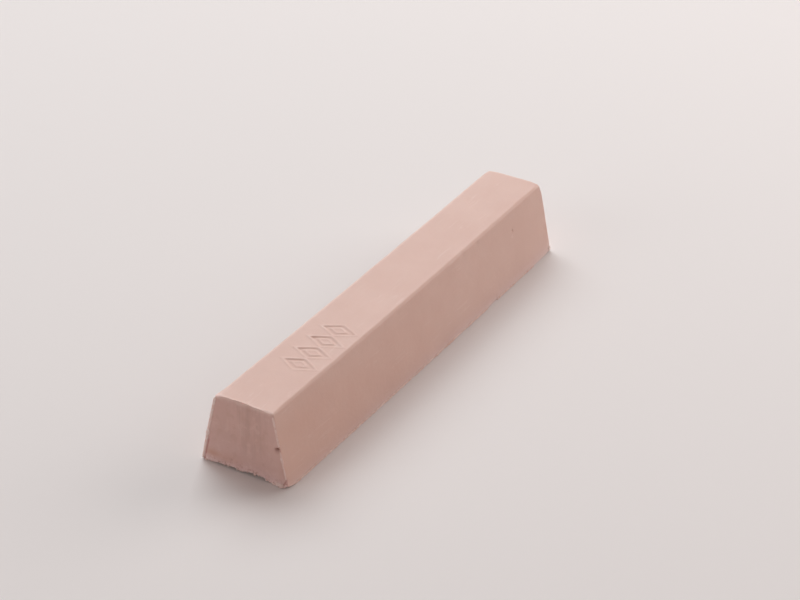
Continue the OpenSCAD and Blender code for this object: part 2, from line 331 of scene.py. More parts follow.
print("near face relief, mm:", round(float(np.ptp(near_cut[:, 0] - LEAN * near_cut[:, 2] / HEIGHT)), 2))

# %% Crease, toe and lip of the near cut
CREASE_DEPTH, FISSURE_DEPTH, TOE_OUT = 0.08, 0.14, 0.36
TOE_Y, FISSURE_Z = -6.05, 0.95
LIP_Y = (-4.95, -3.5, -2.3, -1.2, -0.4, 0.2, 1.6, 2.3, 3.2, 3.8, 4.4, 4.95)
LIP_LIFT = (-0.05, -0.08, 0.06, 0.06, 0.2, 0.17, 0.2, 0.1, 0.09, 0.0, -0.1, -0.1)
EAR_LIFT, EAR_OUT = 0.2, 0.46

crease = bell(to_back - 0.47 - 0.05 * noise(0.5, 0.5, z * 0.8, 24), 0.1) * ramp(4.7 - z, 1.2)
toe = bell(y - TOE_Y, 0.75) * bell(z, 1.15)
fissure = bell(y + 7.0 + 0.42 * (z - 1.0), 0.13) * bell(z - FISSURE_Z, 0.6)
bar[:, 0] += near_face * (CREASE_DEPTH * crease - TOE_OUT * toe + FISSURE_DEPTH * fissure)
lip = np.interp(y, LIP_Y, LIP_LIFT) + 0.03 * noise(0.5, y * 2.3, 0.5, 25)
ear = bell(to_near, 0.55) * bell(to_back - 0.25, 0.6) * bell(to_top, 0.25)
bar[:, 2] += bell(to_near - 0.1, 0.2) * on_top * lip + EAR_LIFT * ear
bar[:, 0] -= EAR_OUT * ear
print("toe stands out, mm:", round(float(TOE_OUT * toe.max()), 2))

# %% Break the foot edge of the cuts
NEAR_FOOT_Y = (-7.6, -7.2, -6.9, -5.2, -4.24, -3.89, -3.53, -3.18, -2.5, -2.0, -1.4, -1.06, -0.35, 0.35, 0.71,
               1.06, 1.41, 1.77, 2.12, 2.83, 3.18, 3.53, 3.89, 4.24, 4.6, 4.95, 5.3, 6.0, 6.4, 7.6)
NEAR_FOOT_LIFT = (0.4, 0.3, 0.0, 0.0, 0.05, 0.15, 0.34, 0.52, 0.54, 0.5, 0.5, 0.5, 0.4, 0.24, 0.17,
                  0.13, 0.24, 0.4, 0.41, 0.31, 0.22, 0.14, 0.15, 0.3, 0.26, 0.14, 0.11, 0.06, 0.0, 0.0)
FAR_FOOT_LIFT = 0.08


def broken_foot(y, lift, distance, height, seed):
    """Rise of the foot edge: lift plus chips of two sizes, dying out behind the cut and above the foot."""
    chips = (0.07 * np.clip(2 * noise(y * 1.5, 0.3, 0.8, seed), 0, 1)
             + 0.09 * np.clip(2 * noise(y * 4.1, 0.3, 0.8, seed + 5), 0, 1))
    return (lift + chips) * bell(distance, 0.9) * np.exp(-height / 0.5)


near_foot_lift = np.interp(bar[:, 1], NEAR_FOOT_Y, NEAR_FOOT_LIFT)
bar[:, 2] += broken_foot(bar[:, 1], near_foot_lift, to_near, to_foot, 31)
bar[:, 2] += broken_foot(bar[:, 1], FAR_FOOT_LIFT, to_far, to_foot, 32)
print("near foot edge, mm:", np.round(bar[(to_near == 0) & (to_foot == 0), 2][::12], 2))

# %% [markdown]
# ## Cast faces and the poured foot
#
# Wax shrinks as it sets. The mould's walls keep the top and sides nearly flat, with long shallow waves. The foot was
# the open side, so it sinks along its middle, ripples like a skin, and holds a few burst bubbles. One flake has come
# off the front foot edge, gently on its near side and abruptly on its far side.

# %% Wave the faces and sink the foot
FOOT_SINK, SINK_REACH = 0.3, 5.2
BUBBLES = ((-31.2, 2.1, 0.5, 0.35), (-12.4, -1.6, 0.4, 0.3), (6.3, 3.4, 0.6, 0.4), (8.1, 2.7, 0.4, 0.25),
           (27.5, -0.8, 0.5, 0.35))

normal = outward * inward / np.maximum(length, 1e-9)
wave = (0.03 * noise(bar[:, 0] / 9, bar[:, 1] / 6, bar[:, 2] / 6, 41)
        + 0.012 * noise(bar[:, 0] / 2.6, bar[:, 1] / 2.6, bar[:, 2] / 2.6, 42))
bar = bar + (normal * wave[:, None]) * ramp(to_foot, 1)[:, None]


def hollow(y):
    """Depth of the shrinkage hollow: an arch, sink * (1 - (y / reach)^2), and 0 beyond its reach."""
    return FOOT_SINK * np.clip(1 - (y / SINK_REACH) ** 2, 0, 1)


on_foot = bell(to_foot, 0.3)
skin = 0.05 * noise(bar[:, 0] / 3.5, bar[:, 1] / 1.6, 0.5, 43) + 0.02 * noise(bar[:, 0] / 1.1, bar[:, 1] / 0.8, 0.5, 44)
inside = ramp(np.minimum(np.minimum(to_front, to_back), np.minimum(to_near, to_far)), 1.2)
bubbles = pits(bar[:, 0], bar[:, 1], BUBBLES)
bar[:, 2] += on_foot * (hollow(bar[:, 1]) * ramp(to_near, 0.8) + inside * (np.abs(skin) + bubbles))
print("sunk foot, mm:", round(float(bar[(to_foot == 0) & (inside == 1), 2].max()), 2))

# %% Chip and dent the long sides
FLAKE_DEPTH, PINHOLE_DEPTH, DENT_DEPTH = 0.13, 0.2, 0.09
PINHOLE = (29.2, 8.5)
DENTS = ((18.3, 11.3), (13.9, 11.5), (-6.4, 11.2))

on_front, on_back = bell(to_front, 0.3), bell(to_back, 0.3)
flake = ramp(bar[:, 0] - 18.5, 1.0) ** 1.5 * ramp(21.25 - bar[:, 0], 0.15)
bar[:, 1] += on_front * FLAKE_DEPTH * flake * np.exp(-to_foot / 0.5)
bar[:, 1] += on_front * PINHOLE_DEPTH * bell(np.hypot(bar[:, 0] - PINHOLE[0], bar[:, 2] - PINHOLE[1]), 0.22)
for dent_x, dent_z in DENTS:
    bar[:, 1] += on_front * DENT_DEPTH * bell(np.hypot((bar[:, 0] - dent_x) / 1.6, bar[:, 2] - dent_z), 0.38)
print("flake, pinhole and", len(DENTS), "dents on the front side")

# %% [markdown]
# ## Arrays become meshes
#
# A mesh needs points, faces and smooth shading. The volume inside the faces, worked out from the faces alone, is
# positive when they all face outwards, so it both checks the surface and turns it. A piece can also carry painted
# values, one for each point and each under its own name, for the materials to read.

# %% Make a piece
def enclosed_volume(points, faces):
    """A sixth of the sum of a . (b x c) over the triangles: positive when the faces look outwards."""
    total = 0.0
    for k in range(1, faces.shape[1] - 1):
        a, b, c = points[faces[:, 0]], points[faces[:, k]], points[faces[:, k + 1]]
        total += float((a * np.cross(b, c)).sum()) / 6
    return total


def make_piece(name, parts, node, painted):
    """One object from closed surfaces, each (points in mm, quads, triangles), standing for a CAD node."""
    points, faces, start = [], [], 0
    for p, quads, triangles in parts:
        volume = enclosed_volume(p, quads) + (enclosed_volume(p, triangles) if len(triangles) else 0)
        for f in (quads, triangles):
            if len(f):
                faces += ((f[:, ::-1] if volume < 0 else f) + start).tolist()
        points.append(p)
        start += len(p)
    mesh = bpy.data.meshes.new(name)
    mesh.from_pydata((np.concatenate(points) / MM_PER_METRE).tolist(), [], faces)
    mesh.polygons.foreach_set("use_smooth", np.ones(len(faces), bool))
    for label, values in painted.items():
        values = np.broadcast_to(values, start).astype(np.float32)
        mesh.attributes.new(label, "FLOAT", "POINT").data.foreach_set("value", values)
    mesh.update()
    piece = bpy.data.objects.new(name, mesh)
    bpy.context.scene.collection.objects.link(piece)
    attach(piece, "root")
    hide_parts(node)
    print(name, len(mesh.vertices), "points,", sum(len(f) - 2 for f in faces), "triangles")
    return piece


# %% [markdown]
# ## Paint the wear, light and shade on the bar
#
# The wax is pale on worn edges, where it was rubbed, and darker where it was stained. With these go painted highlights
# on the lip, the ear, the top rims and the rims of the mark, painted light on the foot of the near cut and on a band
# above the foot of the long sides, and painted shade in the pits and the crease. Those places go with the shape, so
# they are painted from the same distances that shaped them.

# %% Pale places: wear and painted highlights
SMUDGE_X, SMUDGE_Z = 28.8, 7.6

far_corner = np.hypot(to_far, to_front)
rubbed = np.clip(0.35 + 1.1 * noise(along * 0.5, across * 3, z * 0.5, 47), 0, 1)
moulded = bell(np.hypot(to_top, to_front), 1.0)
worn_edges = edge_closeness * (1 - moulded) * rubbed
foot_edges = on_front + 0.6 * on_back + 1.2 * np.maximum(near_face, far_face)
foot_rim = np.exp(-to_foot / 0.35) * np.clip(foot_edges, 0, 1)
lit_lip = bell(to_near - 0.1, 0.3) * on_top * np.clip(0.8 + 0.8 * noise(0.5, y * 1.1, 0.5, 26), 0.3, 1.3)
smudge = bell(np.hypot(bar[:, 0] - SMUDGE_X, (bar[:, 2] - SMUDGE_Z) / 0.7), 0.5)
# Painted highlights: lit_lip, ear, the top back and far rims, the lower far corner and the mark's rims (rim) are
# painted paler where light catches them. worn_edges and the smudge are wear, and foot_rim pales the foot edge.
pale_wear_and_highlight = (np.maximum(worn_edges, foot_rim * (0.5 + 0.5 * rubbed)) + lit_lip + ear
        + 0.8 * bell(far_corner, 0.8) * ramp(3.6 - to_foot, 1.5)
        + 0.55 * on_top * np.maximum(bell(to_back - 0.35, 0.35), bell(to_far - 0.3, 0.35))
        + 0.5 * on_front * smudge + 0.7 * rim)
print("pale share:", round(float(np.clip(pale_wear_and_highlight, 0, 1).mean()), 3))

# %% Stains, painted light and painted shade
SMEARS = (  # y, z, reach in y, reach in z, strength
    (5.9, 1.7, 1.2, 0.5, 1.3), (4.6, 1.3, 1.6, 0.6, 0.4), (2.6, 1.7, 1.6, 0.9, 0.5), (-6.4, 3.4, 0.5, 2.0, 0.4))
# Height over which the painted light above the foot of the long sides fades.
LIT_FOOT_HEIGHT = 0.9

stain_and_shade = near_face * sum(strength * bell(np.hypot((y - at_y) / wide, (z - at_z) / high), 1)
                        for at_y, at_z, wide, high, strength in SMEARS)
stain_and_shade = stain_and_shade + 0.7 * bell(far_corner, 0.6) * bell(z - 3.9, 1.5)
low_down = np.exp(-to_foot / LIT_FOOT_HEIGHT)
# Painted shade: the front side is painted darker and warmer towards the near end, above the foot band; it shares the
# mask of the real stains.
painted_front_shade = on_front * np.clip(0.1 - 0.4 * along / HALF_LENGTH, 0, 1) * ramp(12.5 - z, 4.5)
stain_and_shade = stain_and_shade + painted_front_shade * (1 - low_down)
# Painted light: the long sides are painted paler in a band above the foot, more on the front and towards the far end,
# against the shade from the floor there.
painted_foot_light = (on_front + 0.5 * on_back) * (0.9 + 0.3 * along / HALF_LENGTH) * low_down
# Painted light: the near cut is painted paler towards its foot, against the shade that gathers there, with a weaker
# lift up to 4 mm that fades out by 6 mm, and the ear is painted pale as a highlight.
painted_cut_light = near_face * (0.87 * (1 - ramp(z - 0.2, 2.2)) ** 1.5 + 0.13 * ramp(6 - z, 2)) + 0.8 * ear
drag = near_face * bell(y + 0.5, 3.4) * ramp(z - 2.2, 2.5) + 0.5 * far_face
# Painted shade: the pits of the near cut, the deep pit high on it and the toe's fissure are painted darker, where shade
# falls in them.
painted_pit_shade = near_face * (0.2 * fissure + 1.2 * bell(np.hypot(y + 5.62, z - 6.1), 0.28) + pits(y, z, NEAR_PITS[2:]))
# Painted shade: the crease beside the left burr and the toe's fissure are painted darker and redder, where shade falls
# in them.
painted_crease_shade = near_face * bell(to_back - 0.39, 0.12) * ramp(4.5 - z, 1.0)
painted_crease_shade = painted_crease_shade * np.clip(0.75 + 0.6 * noise(0.5, 0.5, z * 1.3, 27), 0, 1) + 0.6 * near_face * fissure

no_triangles = np.zeros((0, 3), np.int64)
cast_bar = make_piece("cast_bar", [(bar, bar_quads, no_triangles)], "wax_stick", {
    "edge": np.clip(pale_wear_and_highlight, 0, 1), "cut": np.maximum(bell(to_near, 0.2), bell(to_far, 0.2)),
    "hollow": np.clip(painted_pit_shade, 0, 1), "stain_and_shade": stain_and_shade, "drag": drag, "crease": painted_crease_shade, "painted_cut_light": painted_cut_light,
    "painted_foot_light": np.clip(painted_foot_light, 0, 1)})

# %% [markdown]
# ## Thin wax along an edge
#
# The feather and the burrs are all the same kind of shape: a thin, uneven strip that follows an edge. Each is a small
# closed outline carried along the edge, with its reach and its thickness changed by noise on the way and both ends
# drawn to a point. The outline is a flattened oval.

# %% Strip along an edge
def closed_tube(rings):
    """Rings of points (stations, round, xyz) -> points, quads, triangles, with a point that closes each end."""
    stations, around = rings.shape[:2]
    points = np.concatenate([rings.reshape(-1, 3), rings[:1].mean(1), rings[-1:].mean(1)])
    i, j = np.meshgrid(np.arange(stations - 1), np.arange(around), indexing="ij")
    k = (j + 1) % around
    quads = np.stack([i * around + j, i * around + k, (i + 1) * around + k, (i + 1) * around + j], -1).reshape(-1, 4)
    j = np.arange(around)
    k, first, last = (j + 1) % around, stations * around, stations * around + 1
    low = np.stack([np.full(around, first), k, j], -1)
    high = np.stack([np.full(around, last), (stations - 1) * around + j, (stations - 1) * around + k], -1)
    return points, quads, np.concatenate([low, high])


def edge_strip(path, out, side, reach, thickness, around=16):
    """Flattened oval round each path point: path + reach cos(a) out + thickness s side. The angle a goes once round,
    and s is sin(a) with its size to the power 0.8, which makes the oval a little fuller."""
    a = np.linspace(0, 2 * np.pi, around, endpoint=False)
    full_sine = np.sign(np.sin(a)) * np.abs(np.sin(a)) ** 0.8
    outwards = (reach[:, None] * np.cos(a))[..., None] * out[:, None]
    sideways = (thickness[:, None] * full_sine)[..., None] * side[:, None]
    return closed_tube(path[:, None] + outwards + sideways)


def ends_drawn(n, share):
    """1 along the middle of n stations, and down to 0.02 at both ends over that share, as a quarter circle."""
    t = np.linspace(0, 1, n)
    return np.sqrt(1 - (1 - ramp(np.minimum(t, 1 - t), share)) ** 2) * 0.98 + 0.02


def steady(vector, n):
    """The same direction at n stations."""
    return np.repeat(np.array([vector], float), n, 0)


# %% The feather along the front foot edge
FEATHER_STEP, OFF_THE_TABLE, INTO_THE_BAR = 0.12, 0.005, 0.03


def feather(start, stop, reach, seed):
    """Thin overflow wax from start to stop: reach and thickness waver, and small chips are missing."""
    n = int((stop - start) / FEATHER_STEP)
    s = np.linspace(start, stop, n)
    chips = 0.25 + 0.75 * np.clip(0.6 + 1.5 * noise(s * 0.9, 0.2, 0.4, seed), 0, 1)
    taper = ends_drawn(n, 0.04)
    out = (0.1 + reach * chips * (1 + 0.4 * noise(s * 2.7, 0.1, 0.6, seed + 1))) * taper
    thick = (0.13 + 0.06 * noise(s * 1.6, 0.8, 0.3, seed + 2)) * (0.5 + 0.5 * taper)
    path = to_space(s, -1.0, thick + OFF_THE_TABLE)
    path[:, 1] += INTO_THE_BAR
    return edge_strip(path, steady((0, -1, 0), n), steady((0, 0, 1), n), out, thick)


# The value painted on each thin piece sets how much paler it is painted, for the light that passes through it.
foot_feather = make_piece("foot_feather", [feather(-38.6, 18.6, 0.11, 51), feather(21.2, 34.0, 0.07, 54)],
                          "front_feather", {"thin_backlight": 0.25})

# %% The burrs on the upright edges of the near cut
BURR_STEP = 0.06


def burr(side, z, centre, half, reach, tilt, seed):
    """Wax turned out along an upright edge of the near cut (side 1 left, -1 right), at the heights z: a rib centred so
    far in from the edge, half so wide, standing out by reach, and going sideways by tilt for each mm outwards."""
    taper = ends_drawn(len(z), 0.08)
    uneven = np.clip(0.95 + 0.3 * noise(z * 0.9, 0.3, 0.7, seed) + 0.2 * noise(z * 3.1, 0.6, 0.2, seed + 1), 0.4, 1.5)
    path = to_space(-HALF_LENGTH, side, z)
    path[:, 1] -= side * centre
    out, across = steady((-1, side * tilt, 0), len(z)), steady((0, side, 0.05), len(z))
    return edge_strip(path, out, across, reach * uneven * taper, half * (0.85 + 0.15 * uneven) * taper)


def heights(low, high):
    """Even heights from low to high, about one step apart."""
    return np.linspace(low, high, int((high - low) / BURR_STEP))


KNOB = 4.9  # height of the thickest place of the left burr
# Painted light: the left burr is painted paler at these heights, where light shines through the thin wax.
BACKLIT_SPOTS = ((0.3, 0.5, 0.6), (3.7, 0.4, 0.3), (KNOB, 0.5, 0.6), (6.7, 0.5, 0.5))  # height, reach, how much

rib = heights(0.08, 11.5)
left_rib = burr(
    1, rib, -0.06 + 0.03 * bell(rib - KNOB, 0.35) + 0.12 * ramp(rib - 10.9, 0.9) ** 2 + 0.12 * ramp(6 - rib, 5.5),
    0.2 + 0.12 * bell(rib - KNOB, 0.32) - 0.06 * ramp(3 - rib, 2.5),
    0.1 + 0.1 * bell(rib - KNOB, 0.4) + 0.05 * bell(rib - 0.3, 0.4), 0.5, 61)
rib_z = left_rib[0][:, 2]
rib_backlight = 0.75 + sum(share * bell(rib_z - spot, width) for spot, width, share in BACKLIT_SPOTS)
left_burr = make_piece("left_burr", [left_rib], "left_cut_burr", {"thin_backlight": rib_backlight})

upper, lower = heights(6.75, 11.4), heights(1.5, 5.95)
right_burr = make_piece("right_burr", [
    burr(-1, upper, 0.17, 0.2, 0.1, 0.9, 63),
    burr(-1, lower, 0.14, 0.16 + 0.1 * bell(lower - 4.6, 0.6), 0.1, 0.9, 65)], "right_cut_burr", {"thin_backlight": 0.35})

# %% [markdown]
# ## Crumbs and the smear
#
# Hard wax breaks into small angular grains with dull corners. Each is a ball whose points are pushed towards a box,
# turned at an angle of its own, and dented by noise. A grid over two angles makes it, closed at both poles. The smear
# at the front corner is the same surface, drawn out wide and low.

# %% Grains of wax
LEAST_HEIGHT = 0.002


def grain(centre, size, turn, seed, squareness=0.55, around=28, rows=14):
    """Direction d over two angles; radius = 1 / (|dx|^p + |dy|^p + |dz|^p)^(1/p), times 1 + noise. At p = 2 that is a
    ball, and it nears a box as p grows. The grain is flattened where it would go through the table."""
    a = np.linspace(0, 2 * np.pi, around, endpoint=False)
    b = np.linspace(0, np.pi, rows + 2)[1:-1]
    d = np.stack([np.sin(b)[:, None] * np.cos(a), np.sin(b)[:, None] * np.sin(a), np.cos(b)[:, None] + 0 * a], -1)
    power = 2 + 6 * squareness
    r = (np.abs(d) ** power).sum(-1) ** (-1 / power)
    r = r * (1 + 0.28 * noise(d[..., 0] * 1.7, d[..., 1] * 1.7, d[..., 2] * 1.7, seed))
    turn_x, turn_y, turn_z = (Matrix.Rotation(angle, 3, axis) for angle, axis in zip(turn, "XYZ"))
    rotation = np.array(turn_z @ turn_y @ turn_x)
    grown = (d * r[..., None] * np.array(size) / 2) @ rotation.T
    points, quads, triangles = closed_tube(grown + np.array(centre))
    points[:, 2] = np.maximum(points[:, 2], LEAST_HEIGHT)
    return points, quads, triangles


def on_near_cut(y, z, stand_out):
    """A point on the near cut at (y, z), standing out by that much."""
    return (-HALF_LENGTH + LEAN * (z / HEIGHT - 0.5) - stand_out, y, z)


CRUMBS = (  # y and size of those along the foot edge
    (6.9, 0.3), (5.9, 0.16), (4.4, 0.26), (3.7, 0.15), (2.95, 0.3), (2.2, 0.16), (1.4, 0.34), (0.9, 0.18),
    (0.45, 0.24), (-0.4, 0.22), (-1.05, 0.15), (-1.76, 0.42), (-2.4, 0.24), (-2.95, 0.14), (-3.75, 0.36), (-4.2, 0.2))
FIRST_SEED = 70
clinging = [(y, np.interp(y, NEAR_FOOT_Y, NEAR_FOOT_LIFT) + 0.32 * size, size, FIRST_SEED + number)
            for number, (y, size) in enumerate(CRUMBS)]
clinging.append((6.42, 4.86, 0.32, 90))  # one more, higher up beside the left burr
foot_grains = make_piece("foot_grains", [
    grain(on_near_cut(y, z, 0.03), (0.55 * size, size, 0.85 * size), (seed * 1.1, seed * 0.7, seed * 2.3), seed)
    for y, z, size, seed in clinging], "foot_crumbs", {"thin_backlight": 0.85})
corner_smear = make_piece("corner_smear", [
    grain(on_near_cut(-6.15, 0.42, 0.2), (0.36, 1.2, 0.8), (0.1, 0.1, 0.06), 81, 0.1, 64, 32),
    grain(on_near_cut(-5.2, 0.22, 0.07), (0.3, 1.0, 0.32), (0.2, 0.1, 0.2), 82, 0.2, 40, 20)],
    "toe_smear", {"thin_backlight": 0.75})
corner_grain = make_piece("corner_grain", [
    grain((39.42, -7.38, 0.5), (0.62, 0.4, 0.95), (0.1, -0.2, 0.1), 83, 0.5, 48, 24)],
    "far_corner_crumb", {"thin_backlight": 0.8})

# %% [markdown]
# ## Finishes shared by all the wax
#
# Hard wax is matt, a little see-through, and clouded where the pigment is not quite even. Small effects of that kind
# are built once as node groups and placed in each material with its own values. Every group reads Object coordinates
# in millimetres, so a pattern has its real size on every piece. A group puts out masks, values and heights only; the
# shader itself stays in the material.

# %% Small helpers for node trees
def feed(tree, socket, value):
    """Links the socket to value where that is an output of a node, and sets it to value where that is a number."""
    if isinstance(value, bpy.types.NodeSocket):
        tree.links.new(value, socket)
    else:
        socket.default_value = value


def add(tree, kind, settings=None, **values):
    """One node. settings are its options. Each value is fed to the input of that name, or of that number (_0, _1)."""
    node = tree.nodes.new(kind)
    for key, value in (settings or {}).items():
        setattr(node, key, value)
    for key, value in values.items():
        feed(tree, node.inputs[int(key[1:]) if key[0] == "_" else key.replace("_", " ")], value)
    return node


def math_node(tree, operation, a, b, clamp=False):
    """a and b through one Math node, and its output."""
    return add(tree, "ShaderNodeMath", {"operation": operation, "use_clamp": clamp}, _0=a, _1=b).outputs[0]


def complement(tree, value):
    """1 - value."""
    return math_node(tree, "SUBTRACT", 1.0, value)


def stepped(tree, value, low, high):
    """0 below low, 1 above high, and smooth between."""
    return add(tree, "ShaderNodeMapRange", {"interpolation_type": "SMOOTHSTEP"}, Value=value, From_Min=low,
               From_Max=high).outputs[0]


def stretched(tree, place, factors):
    """The three parts of place, each times its factor: a small factor draws a pattern out in that direction."""
    return add(tree, "ShaderNodeVectorMath", {"operation": "MULTIPLY"}, _0=place, _1=factors).outputs[0]


def noise_node(tree, place, scale, detail, **more):
    """The value of Blender's noise texture at that place."""
    return add(tree, "ShaderNodeTexNoise", Vector=place, Scale=scale, Detail=detail, **more).outputs[0]


def new_group(name, inputs, outputs):
    """An empty shader group with a vector input Place, number inputs {name: default} and number outputs. Gives the
    group, the sockets that its nodes read from, and the sockets that they feed."""
    group = bpy.data.node_groups.new(name, "ShaderNodeTree")
    group.interface.new_socket("Place", in_out="INPUT", socket_type="NodeSocketVector")
    for label, default in inputs.items():
        group.interface.new_socket(label, in_out="INPUT", socket_type="NodeSocketFloat").default_value = default
    for label in outputs:
        group.interface.new_socket(label, in_out="OUTPUT", socket_type="NodeSocketFloat")
    return group, group.nodes.new("NodeGroupInput").outputs, group.nodes.new("NodeGroupOutput").inputs


# %% Group: clouds of pigment and fine speckle
pigment_clouds, ins, outs = new_group(
    "pigment_clouds", {"Cloud size": 7.0, "Speckle size": 0.35}, ("Cloud", "Speckle"))
tree = pigment_clouds
for output, detail, roughness, low, high in (("Cloud", 4.0, 0.55, 0.3, 0.7), ("Speckle", 2.0, 0.6, 0.25, 0.75)):
    per_mm = math_node(tree, "DIVIDE", 1.0, ins[output + " size"])
    value = noise_node(tree, ins["Place"], per_mm, detail, Roughness=roughness)
    feed(tree, outs[output], stepped(tree, value, low, high))
print("group:", tree.name, len(tree.nodes), "nodes")

# %% Group: paler edges, worn and painted highlights
worn_and_lit_edge, ins, outs = new_group("worn_and_lit_edge", {"Edge": 0.0, "Break up": 0.6}, ("Mask",))
tree = worn_and_lit_edge
patches = noise_node(tree, ins["Place"], 0.9, 5.0, Roughness=0.65)
patches = math_node(tree, "SUBTRACT", patches, 0.5)
patches = math_node(tree, "MULTIPLY", patches, ins["Break up"])
broken_up = math_node(tree, "ADD", ins["Edge"], patches)
feed(tree, outs["Mask"], stepped(tree, broken_up, 0.05, 0.75))
print("group:", tree.name, len(tree.nodes), "nodes")

# %% Group: the drag of a blade
WIDE_STRETCH, FINE_STRETCH = (0.0, 0.75, 0.09), (0.0, 3.2, 0.28)
WIDE_SHARE, FINE_SHARE = 0.72, 0.28

blade_streaks, ins, outs = new_group("blade_streaks", {"Fineness": 1.0}, ("Streak", "Height"))
tree = blade_streaks
wide = noise_node(tree, stretched(tree, ins["Place"], WIDE_STRETCH), ins["Fineness"], 3.0)
fine = noise_node(tree, stretched(tree, ins["Place"], FINE_STRETCH), ins["Fineness"], 3.0)
both = math_node(tree, "ADD", math_node(tree, "MULTIPLY", wide, WIDE_SHARE),
                 math_node(tree, "MULTIPLY", fine, FINE_SHARE))
feed(tree, outs["Streak"], stepped(tree, both, 0.36, 0.64))
feed(tree, outs["Height"], both)
print("group:", tree.name, len(tree.nodes), "nodes")

# %% Group: the fine skin of cast wax
cast_skin, ins, outs = new_group("cast_skin", {"Pores": 0.5}, ("Height",))
tree = cast_skin
ripple = noise_node(tree, ins["Place"], 1.3, 4.0, Roughness=0.5)
pores = add(tree, "ShaderNodeTexVoronoi", Vector=ins["Place"], Scale=1.1, Randomness=1.0)
pores = stepped(tree, pores.outputs["Distance"], 0.04, 0.12)
pores = math_node(tree, "MULTIPLY", math_node(tree, "SUBTRACT", pores, 1.0), ins["Pores"])
fine_grain = noise_node(tree, ins["Place"], 7.0, 2.0)
height = math_node(tree, "ADD", ripple, math_node(tree, "MULTIPLY", fine_grain, 0.25))
feed(tree, outs["Height"], math_node(tree, "ADD", height, pores))
print("group:", tree.name, len(tree.nodes), "nodes")

# %% Group: crumbly wax, dark specks and pale grains
crumbly_wax, ins, outs = new_group("crumbly_wax", {"Per mm": 2.2}, ("Dark", "Pale", "Height"))
tree = crumbly_wax
lumps = noise_node(tree, ins["Place"], ins["Per mm"], 2.0)
feed(tree, outs["Dark"], stepped(tree, lumps, 0.56, 0.68))
feed(tree, outs["Pale"], complement(tree, stepped(tree, lumps, 0.32, 0.44)))
feed(tree, outs["Height"], complement(tree, lumps))
print("group:", tree.name, len(tree.nodes), "nodes")

# %% Group: scuffs from handling
LINE_STRETCH = (0.22, 2.6, 2.6)

handling_marks, ins, outs = new_group("handling_marks", {}, ("Scuff",))
tree = handling_marks
scratches = noise_node(tree, stretched(tree, ins["Place"], LINE_STRETCH), 1.0, 2.0, Distortion=0.6)
areas = noise_node(tree, ins["Place"], 0.16, 2.0)
scuffed = math_node(tree, "MULTIPLY", stepped(tree, scratches, 0.58, 0.7), stepped(tree, areas, 0.46, 0.62))
feed(tree, outs["Scuff"], scuffed)
print("group:", tree.name, len(tree.nodes), "nodes")

# %% [markdown]
# ## Two waxes from the same groups
#
# The bar is one material: its base colour drifts with the pigment and pales on worn edges and scuffs. It also carries
# painted light and shade: painted highlights on the rims and the lip, painted light low on the near cut and above the
# foot of the long sides, and painted shade in the pits, the crease, the furrows of the cuts and along the front towards
# the near end. The thin wax of burrs and crumbs is the same wax, painted paler by a value on each piece to stand for
# the light that passes through it. Subsurface scattering takes the hardness out of both. Its radius is small, a quarter
# of a millimetre or less, because the wax is full of pigment, and nearly the same for red, green and blue, since
# unequal radii would leave coloured bands along the edges.

# %% Start a wax, place groups, blend colours
WAX_IOR, WAX_SPECULAR, SCATTER_RADIUS = 1.44, 0.4, (1.0, 0.9, 0.85)


def new_wax(name, scatter_weight, scatter_scale):
    """A material with a Principled shader for wax. Gives it with its tree, shader and Object coordinates in mm."""
    material = bpy.data.materials.new(name)
    material.use_nodes = True
    tree = material.node_tree
    shader = tree.nodes["Principled BSDF"]
    for label, value in {"IOR": WAX_IOR, "Specular IOR Level": WAX_SPECULAR, "Subsurface Weight": scatter_weight,
                         "Subsurface Scale": scatter_scale, "Subsurface Radius": SCATTER_RADIUS}.items():
        shader.inputs[label].default_value = value
    metres = add(tree, "ShaderNodeTexCoord").outputs["Object"]
    place = add(tree, "ShaderNodeVectorMath", {"operation": "SCALE"}, _0=metres, Scale=MM_PER_METRE).outputs[0]
    return material, tree, shader, place


def painted_value(tree, label):
    """A value painted on the mesh, from 0 to about 1."""
    return add(tree, "ShaderNodeAttribute", {"attribute_name": label}).outputs["Fac"]


def place_group(tree, group, **values):
    """The outputs of one use of a group, with its own values."""
    return add(tree, "ShaderNodeGroup", {"node_tree": group}, **values).outputs


def blend_colour(tree, share, a, b):
    """Colour a where share is 0 and b where it is 1."""
    return add(tree, "ShaderNodeMix", {"data_type": "RGBA"}, _0=share, _6=a, _7=b).outputs[2]


def tinted(tree, colour, mask, strength, tint):
    """The colour, blended towards the tint by mask * strength."""
    return blend_colour(tree, math_node(tree, "MULTIPLY", mask, strength), colour, tint)


# %% The bar's wax: masks and plain colours
CLOUD_DEEP, CLOUD_LIGHT = (0.688, 0.467, 0.398, 1), (0.716, 0.499, 0.429, 1)
# The deep cut colour is the painted shade of the furrows.
CUT_LIGHT, FURROW_SHADE = (0.705, 0.462, 0.408, 1), (0.620, 0.400, 0.346, 1)
MOTTLE_DARK, MOTTLE_PALE = (0.600, 0.370, 0.300, 1), (0.790, 0.560, 0.500, 1)
# The pale of the painted light above the foot of the long sides.
LIT_FOOT_PALE = (0.766, 0.588, 0.555, 1)

hard_wax, tree, shader, place = new_wax("hard_wax", 0.5, 0.00025)
edge, cut, pit_shade_mask, stain_and_shade_mask, drag_shade_and_relief, crease_shade_mask, cut_light_mask, lit_foot_band = (
    painted_value(tree, label) for label in ("edge", "cut", "hollow", "stain_and_shade", "drag", "crease", "painted_cut_light", "painted_foot_light"))
clouds = place_group(tree, pigment_clouds, Place=place, Cloud_size=8.0, Speckle_size=0.4)
streaks = place_group(tree, blade_streaks, Place=place, Fineness=1.0)
mottle = place_group(tree, crumbly_wax, Place=place, Per_mm=0.8)

colour = blend_colour(tree, clouds["Cloud"], CLOUD_DEEP, CLOUD_LIGHT)
# Painted light above the foot of the long sides.
colour = blend_colour(tree, lit_foot_band, colour, LIT_FOOT_PALE)
